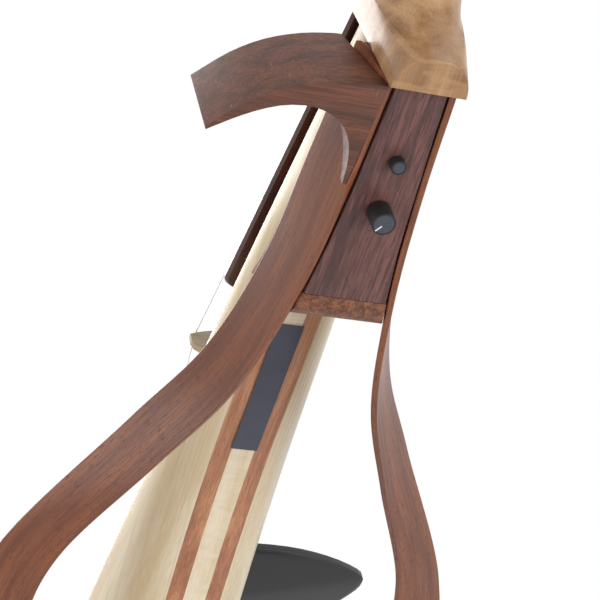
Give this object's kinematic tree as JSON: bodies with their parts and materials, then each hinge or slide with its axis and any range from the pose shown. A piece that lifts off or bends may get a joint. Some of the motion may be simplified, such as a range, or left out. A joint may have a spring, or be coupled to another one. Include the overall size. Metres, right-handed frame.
{
  "type": "electric violin",
  "caption": "Electric violin: laminated beam, control block with knobs, twisted wooden side bands, shoulder horn, neck with scroll, pegs, bridge, tailpiece and chin rest.",
  "frame": {"origin": "bottom centre of the whole model's box, the instrument lying on its back", "axes": "+X treble side, +Y towards the scroll, +Z towards the strings"},
  "size_m": [0.21, 0.6002, 0.1184],
  "materials": {
    "walnut": "satin",
    "spruce": "satin",
    "mahogany": "satin",
    "maple": "satin",
    "bridge_maple": "satin",
    "rosewood": "gloss",
    "ebony": "satin",
    "black_plastic": "matte",
    "label_grey": "satin",
    "steel": "polished"
  },
  "bodies": {
    "violin": {"band_bass": "walnut", "band_treble": "walnut", "beam_core": "maple", "beam_side_bass": "spruce", "beam_side_treble": "spruce", "beam_stripe_bass": "mahogany", "beam_stripe_treble": "mahogany", "blank_label": "label_grey", "bridge": "bridge_maple", "bridge_pickup": "black_plastic", "chin_rest": "black_plastic", "chin_rest_leg": "black_plastic", "clamp_foot": "black_plastic", "clamp_post_1": "steel", "clamp_post_2": "steel", "control_block": "walnut", "control_plate": "walnut", "end_button": "ebony", "fingerboard": "rosewood", "jack_nut": "steel", "jack_socket": "black_plastic", "neck_and_scroll": "maple", "nut": "ebony", "saddle": "ebony", "selector_switch": "black_plastic", "shoulder_horn": "walnut", "string_a": "steel", "string_d": "steel", "string_e": "steel", "string_g": "steel", "tailgut": "black_plastic", "tailpiece": "black_plastic", "tuner_lever_a": "steel", "tuner_lever_d": "steel", "tuner_lever_e": "steel", "tuner_lever_g": "steel", "volume_pot": "black_plastic"},
    "peg_g_turning": {"peg_g": "ebony", "winding_g": "steel"},
    "peg_e_turning": {"peg_e": "ebony", "winding_e": "steel"},
    "peg_d_turning": {"peg_d": "ebony", "winding_d": "steel"},
    "peg_a_turning": {"peg_a": "ebony", "winding_a": "steel"},
    "tuner_e_turning": {"tuner_screw_e": "steel"},
    "tuner_a_turning": {"tuner_screw_a": "steel"},
    "tuner_d_turning": {"tuner_screw_d": "steel"},
    "tuner_g_turning": {"tuner_screw_g": "steel"},
    "volume_turning": {"volume_knob": "black_plastic", "volume_shaft": "steel"},
    "selector_turning": {"selector_knob": "black_plastic", "selector_shaft": "steel"}
  },
  "joints": [
    {"name": "peg_g_turn", "type": "hinge", "parent": "violin", "child": "peg_g_turning", "pos_m": [0.00101, 0.2155, 0.03748], "axis": [-1, 0, 0], "range_deg": [-180, 180]},
    {"name": "peg_e_turn", "type": "hinge", "parent": "violin", "child": "peg_e_turning", "pos_m": [0.00101, 0.2289, 0.03343], "axis": [1, 0, 0], "range_deg": [-180, 180]},
    {"name": "peg_d_turn", "type": "hinge", "parent": "violin", "child": "peg_d_turning", "pos_m": [0.00101, 0.2423, 0.02938], "axis": [-1, 0, 0], "range_deg": [-180, 180]},
    {"name": "peg_a_turn", "type": "hinge", "parent": "violin", "child": "peg_a_turning", "pos_m": [0.00101, 0.2557, 0.02533], "axis": [1, 0, 0], "range_deg": [-180, 180]},
    {"name": "tuner_e_turn", "type": "hinge", "parent": "violin", "child": "tuner_e_turning", "pos_m": [0.01481, -0.19267, 0.10113], "axis": [0, 0.0758, 0.9971], "range_deg": [-360, 360]},
    {"name": "tuner_a_turn", "type": "hinge", "parent": "violin", "child": "tuner_a_turning", "pos_m": [0.00561, -0.19267, 0.10113], "axis": [0, 0.0758, 0.9971], "range_deg": [-360, 360]},
    {"name": "tuner_d_turn", "type": "hinge", "parent": "violin", "child": "tuner_d_turning", "pos_m": [-0.00359, -0.19267, 0.10113], "axis": [0, 0.0758, 0.9971], "range_deg": [-360, 360]},
    {"name": "tuner_g_turn", "type": "hinge", "parent": "violin", "child": "tuner_g_turning", "pos_m": [-0.01279, -0.19267, 0.10113], "axis": [0, 0.0758, 0.9971], "range_deg": [-360, 360]},
    {"name": "volume_turn", "type": "hinge", "parent": "violin", "child": "volume_turning", "pos_m": [0.00101, 0.01585, 0.02055], "axis": [0, 0.0415, -0.9991], "range_deg": [-140, 140]},
    {"name": "selector_turn", "type": "hinge", "parent": "violin", "child": "selector_turning", "pos_m": [0.00101, 0.03694, 0.02142], "axis": [0, 0.0415, -0.9991], "range_deg": [-140, 140]}
  ]
}
